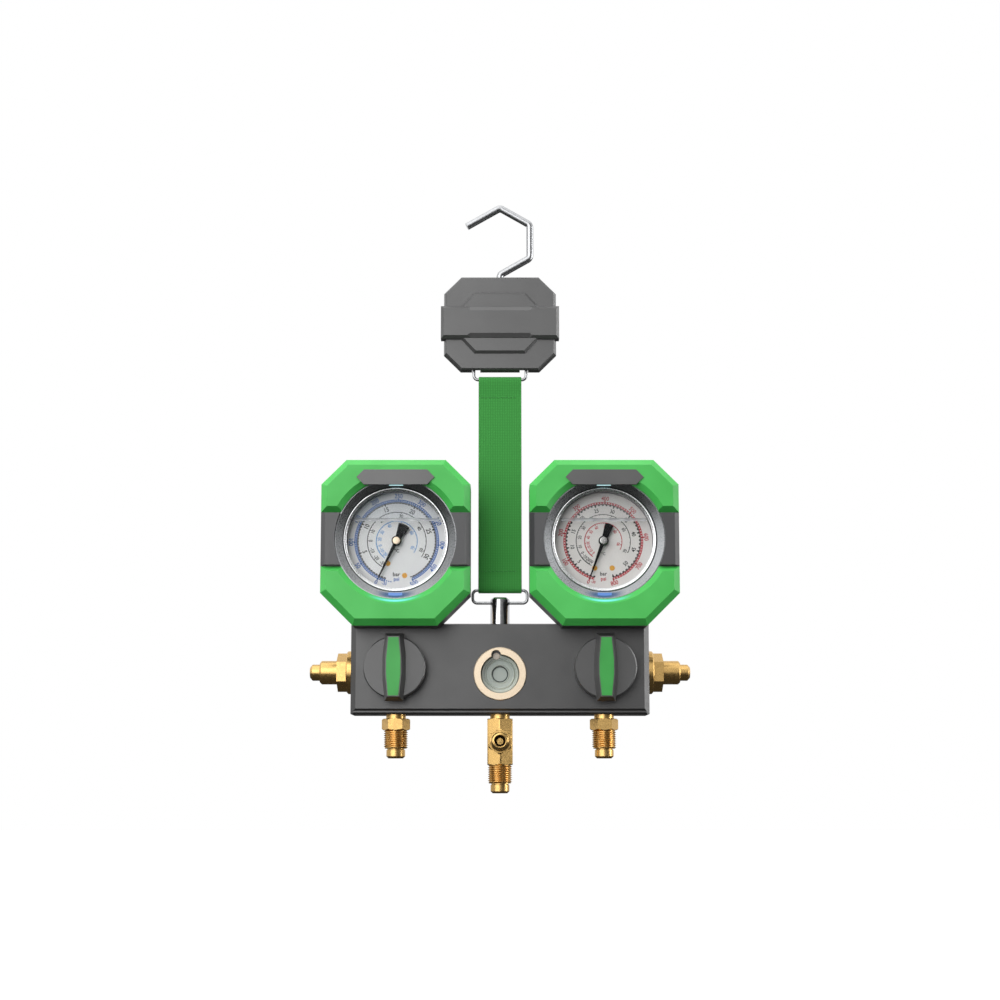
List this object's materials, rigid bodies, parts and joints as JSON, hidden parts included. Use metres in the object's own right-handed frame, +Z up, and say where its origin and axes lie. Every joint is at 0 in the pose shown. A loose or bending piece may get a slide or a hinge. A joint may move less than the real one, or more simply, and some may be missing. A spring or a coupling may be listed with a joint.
{
  "type": "refrigerant manifold gauge",
  "caption": "Dual gauge refrigerant manifold with valve knobs, sight glass, flare ports, webbing strap and a hanging hook.",
  "frame": {"origin": "underside of the hook's top bend, where the set hangs", "axes": "+X to the right and +Y away from a user who reads the dials, +Z up"},
  "size_m": [0.2526, 0.062, 0.3992],
  "materials": {
    "polished_steel": "bright polished",
    "hanger_plastic": "satin moulded",
    "band_plastic": "satin moulded",
    "magnet_cup": "nickel cup with rubber face",
    "screw_steel": "zinc plated",
    "green_webbing": "woven polyester",
    "post_steel": "turned and polished",
    "anodised_block": "bead blasted, dark grey anodised",
    "brass": "machined",
    "sight_brass": "satin, pale plated",
    "clear_window": "clear",
    "grey_plates": "satin",
    "trim_metal": "dark metallic",
    "lamp_lens": "frosted lens",
    "knob_plastic": "satin moulded",
    "green_insert": "moulded",
    "case_steel": "drawn steel",
    "bezel_steel": "polished",
    "dial_enamel": "white printed",
    "pointer_black": "matt black",
    "movement_brass": "stamped",
    "boot_grey": "satin moulded",
    "guard_green": "moulded",
    "button_rubber": "moulded"
  },
  "bodies": {
    "hook": {"hook": "polished_steel"},
    "hanger": {"hanger_front": "hanger_plastic", "hanger_band": "band_plastic", "hanger_back": "hanger_plastic", "hanger_magnet": "magnet_cup", "hanger_screws": "screw_steel"},
    "upper_ring": {"upper_ring": "polished_steel"},
    "strap": {"strap": "green_webbing"},
    "lower_ring": {"lower_ring": "polished_steel"},
    "manifold": {"post": "post_steel", "manifold_block": "anodised_block", "low_port": "brass", "high_port": "brass", "centre_tee": "brass", "tee_side_port": "brass", "valve_core": "brass", "left_hose_holder": "brass", "right_hose_holder": "brass", "sight_ring": "sight_brass", "sight_window": "clear_window", "sight_target": "brass", "valve_glands": "brass", "name_plates": "grey_plates", "trim_rings": "trim_metal", "lamp_windows": "lamp_lens", "low_gauge_case": "case_steel", "low_gauge_bezel_ring": "bezel_steel", "low_gauge_window": "clear_window", "low_gauge_dial": "dial_enamel", "low_gauge_socket": "movement_brass", "low_gauge_movement_frame": "movement_brass", "low_gauge_bourdon_tube": "movement_brass", "low_gauge_boot": "boot_grey", "low_gauge_upper_guard": "guard_green", "low_gauge_lower_guard": "guard_green", "high_gauge_case": "case_steel", "high_gauge_bezel_ring": "bezel_steel", "high_gauge_window": "clear_window", "high_gauge_dial": "dial_enamel", "high_gauge_socket": "movement_brass", "high_gauge_movement_frame": "movement_brass", "high_gauge_bourdon_tube": "movement_brass", "high_gauge_boot": "boot_grey", "high_gauge_upper_guard": "guard_green", "high_gauge_lower_guard": "guard_green"},
    "low_knob": {"low_knob": "knob_plastic", "low_knob_insert": "green_insert", "low_spindle": "brass"},
    "low_piston": {"low_piston": "brass"},
    "low_sector": {"low_gauge_sector_gear": "movement_brass"},
    "low_pointer": {"low_gauge_pointer": "pointer_black"},
    "low_lamp_button": {"low_gauge_lamp_button": "button_rubber"},
    "high_knob": {"high_knob": "knob_plastic", "high_knob_insert": "green_insert", "high_spindle": "brass"},
    "high_piston": {"high_piston": "brass"},
    "high_sector": {"high_gauge_sector_gear": "movement_brass"},
    "high_pointer": {"high_gauge_pointer": "pointer_black"},
    "high_lamp_button": {"high_gauge_lamp_button": "button_rubber"},
    "core_pin": {"valve_core_pin": "brass"}
  },
  "joints": [
    {"name": "hanger_swivel", "type": "hinge", "parent": "hook", "child": "hanger", "pos_m": [0, 0, -0.0465], "axis": [0, 0, 1], "continuous": true},
    {"name": "upper_ring_swing", "type": "hinge", "parent": "hanger", "child": "upper_ring", "pos_m": [0, 0, -0.1077], "axis": [1, 0, 0], "range_deg": [-25, 25]},
    {"name": "strap_swing", "type": "hinge", "parent": "upper_ring", "child": "strap", "pos_m": [0, 0, -0.1177], "axis": [1, 0, 0], "range_deg": [-45, 45]},
    {"name": "lower_ring_swing", "type": "hinge", "parent": "strap", "child": "lower_ring", "pos_m": [0, 0, -0.2609], "axis": [1, 0, 0], "range_deg": [-45, 45]},
    {"name": "manifold_swing", "type": "hinge", "parent": "lower_ring", "child": "manifold", "pos_m": [0, 0, -0.2695], "axis": [1, 0, 0], "range_deg": [-40, 40]},
    {"name": "low_knob_turn", "type": "hinge", "parent": "manifold", "child": "low_knob", "pos_m": [-0.0686, -0.01025, -0.3135], "axis": [0, -1, 0], "range_deg": [0, 450]},
    {"name": "low_piston_slide", "type": "slide", "parent": "manifold", "child": "low_piston", "axis": [0, -1, 0], "range_m": [0, 0.0025]},
    {"name": "low_sector_swing", "type": "hinge", "parent": "manifold", "child": "low_sector", "pos_m": [-0.0677, -0.01825, -0.2523], "axis": [0, 1, 0], "range_deg": [-39, 1.3], "stiffness_Nm_per_rad": 0.2},
    {"name": "low_pointer_turn", "type": "hinge", "parent": "manifold", "child": "low_pointer", "pos_m": [-0.0677, -0.01825, -0.2307], "axis": [0, 1, 0], "range_deg": [-10.4, 312]},
    {"name": "low_lamp_press", "type": "slide", "parent": "manifold", "child": "low_lamp_button", "axis": [0, -1, 0], "range_m": [0, 0.001], "stiffness_N_per_m": 300},
    {"name": "high_knob_turn", "type": "hinge", "parent": "manifold", "child": "high_knob", "pos_m": [0.0686, -0.01025, -0.3135], "axis": [0, -1, 0], "range_deg": [0, 450]},
    {"name": "high_piston_slide", "type": "slide", "parent": "manifold", "child": "high_piston", "axis": [0, -1, 0], "range_m": [0, 0.0025]},
    {"name": "high_sector_swing", "type": "hinge", "parent": "manifold", "child": "high_sector", "pos_m": [0.0677, -0.01825, -0.2523], "axis": [0, 1, 0], "range_deg": [-40.65, 0.85], "stiffness_Nm_per_rad": 0.2},
    {"name": "high_pointer_turn", "type": "hinge", "parent": "manifold", "child": "high_pointer", "pos_m": [0.0677, -0.01825, -0.2307], "axis": [0, 1, 0], "range_deg": [-6.8, 325.2]},
    {"name": "high_lamp_press", "type": "slide", "parent": "manifold", "child": "high_lamp_button", "axis": [0, -1, 0], "range_m": [0, 0.001], "stiffness_N_per_m": 300},
    {"name": "core_pin_press", "type": "slide", "parent": "manifold", "child": "core_pin", "axis": [0, 1, 0], "range_m": [0, 0.0012], "stiffness_N_per_m": 400}
  ],
  "couplings": [
    {"joint": "low_piston_slide", "follows": "low_knob_turn", "m_per_rad": 0.00031831},
    {"joint": "low_pointer_turn", "follows": "low_sector_swing", "ratio": -8},
    {"joint": "high_piston_slide", "follows": "high_knob_turn", "m_per_rad": 0.00031831},
    {"joint": "high_pointer_turn", "follows": "high_sector_swing", "ratio": -8}
  ]
}
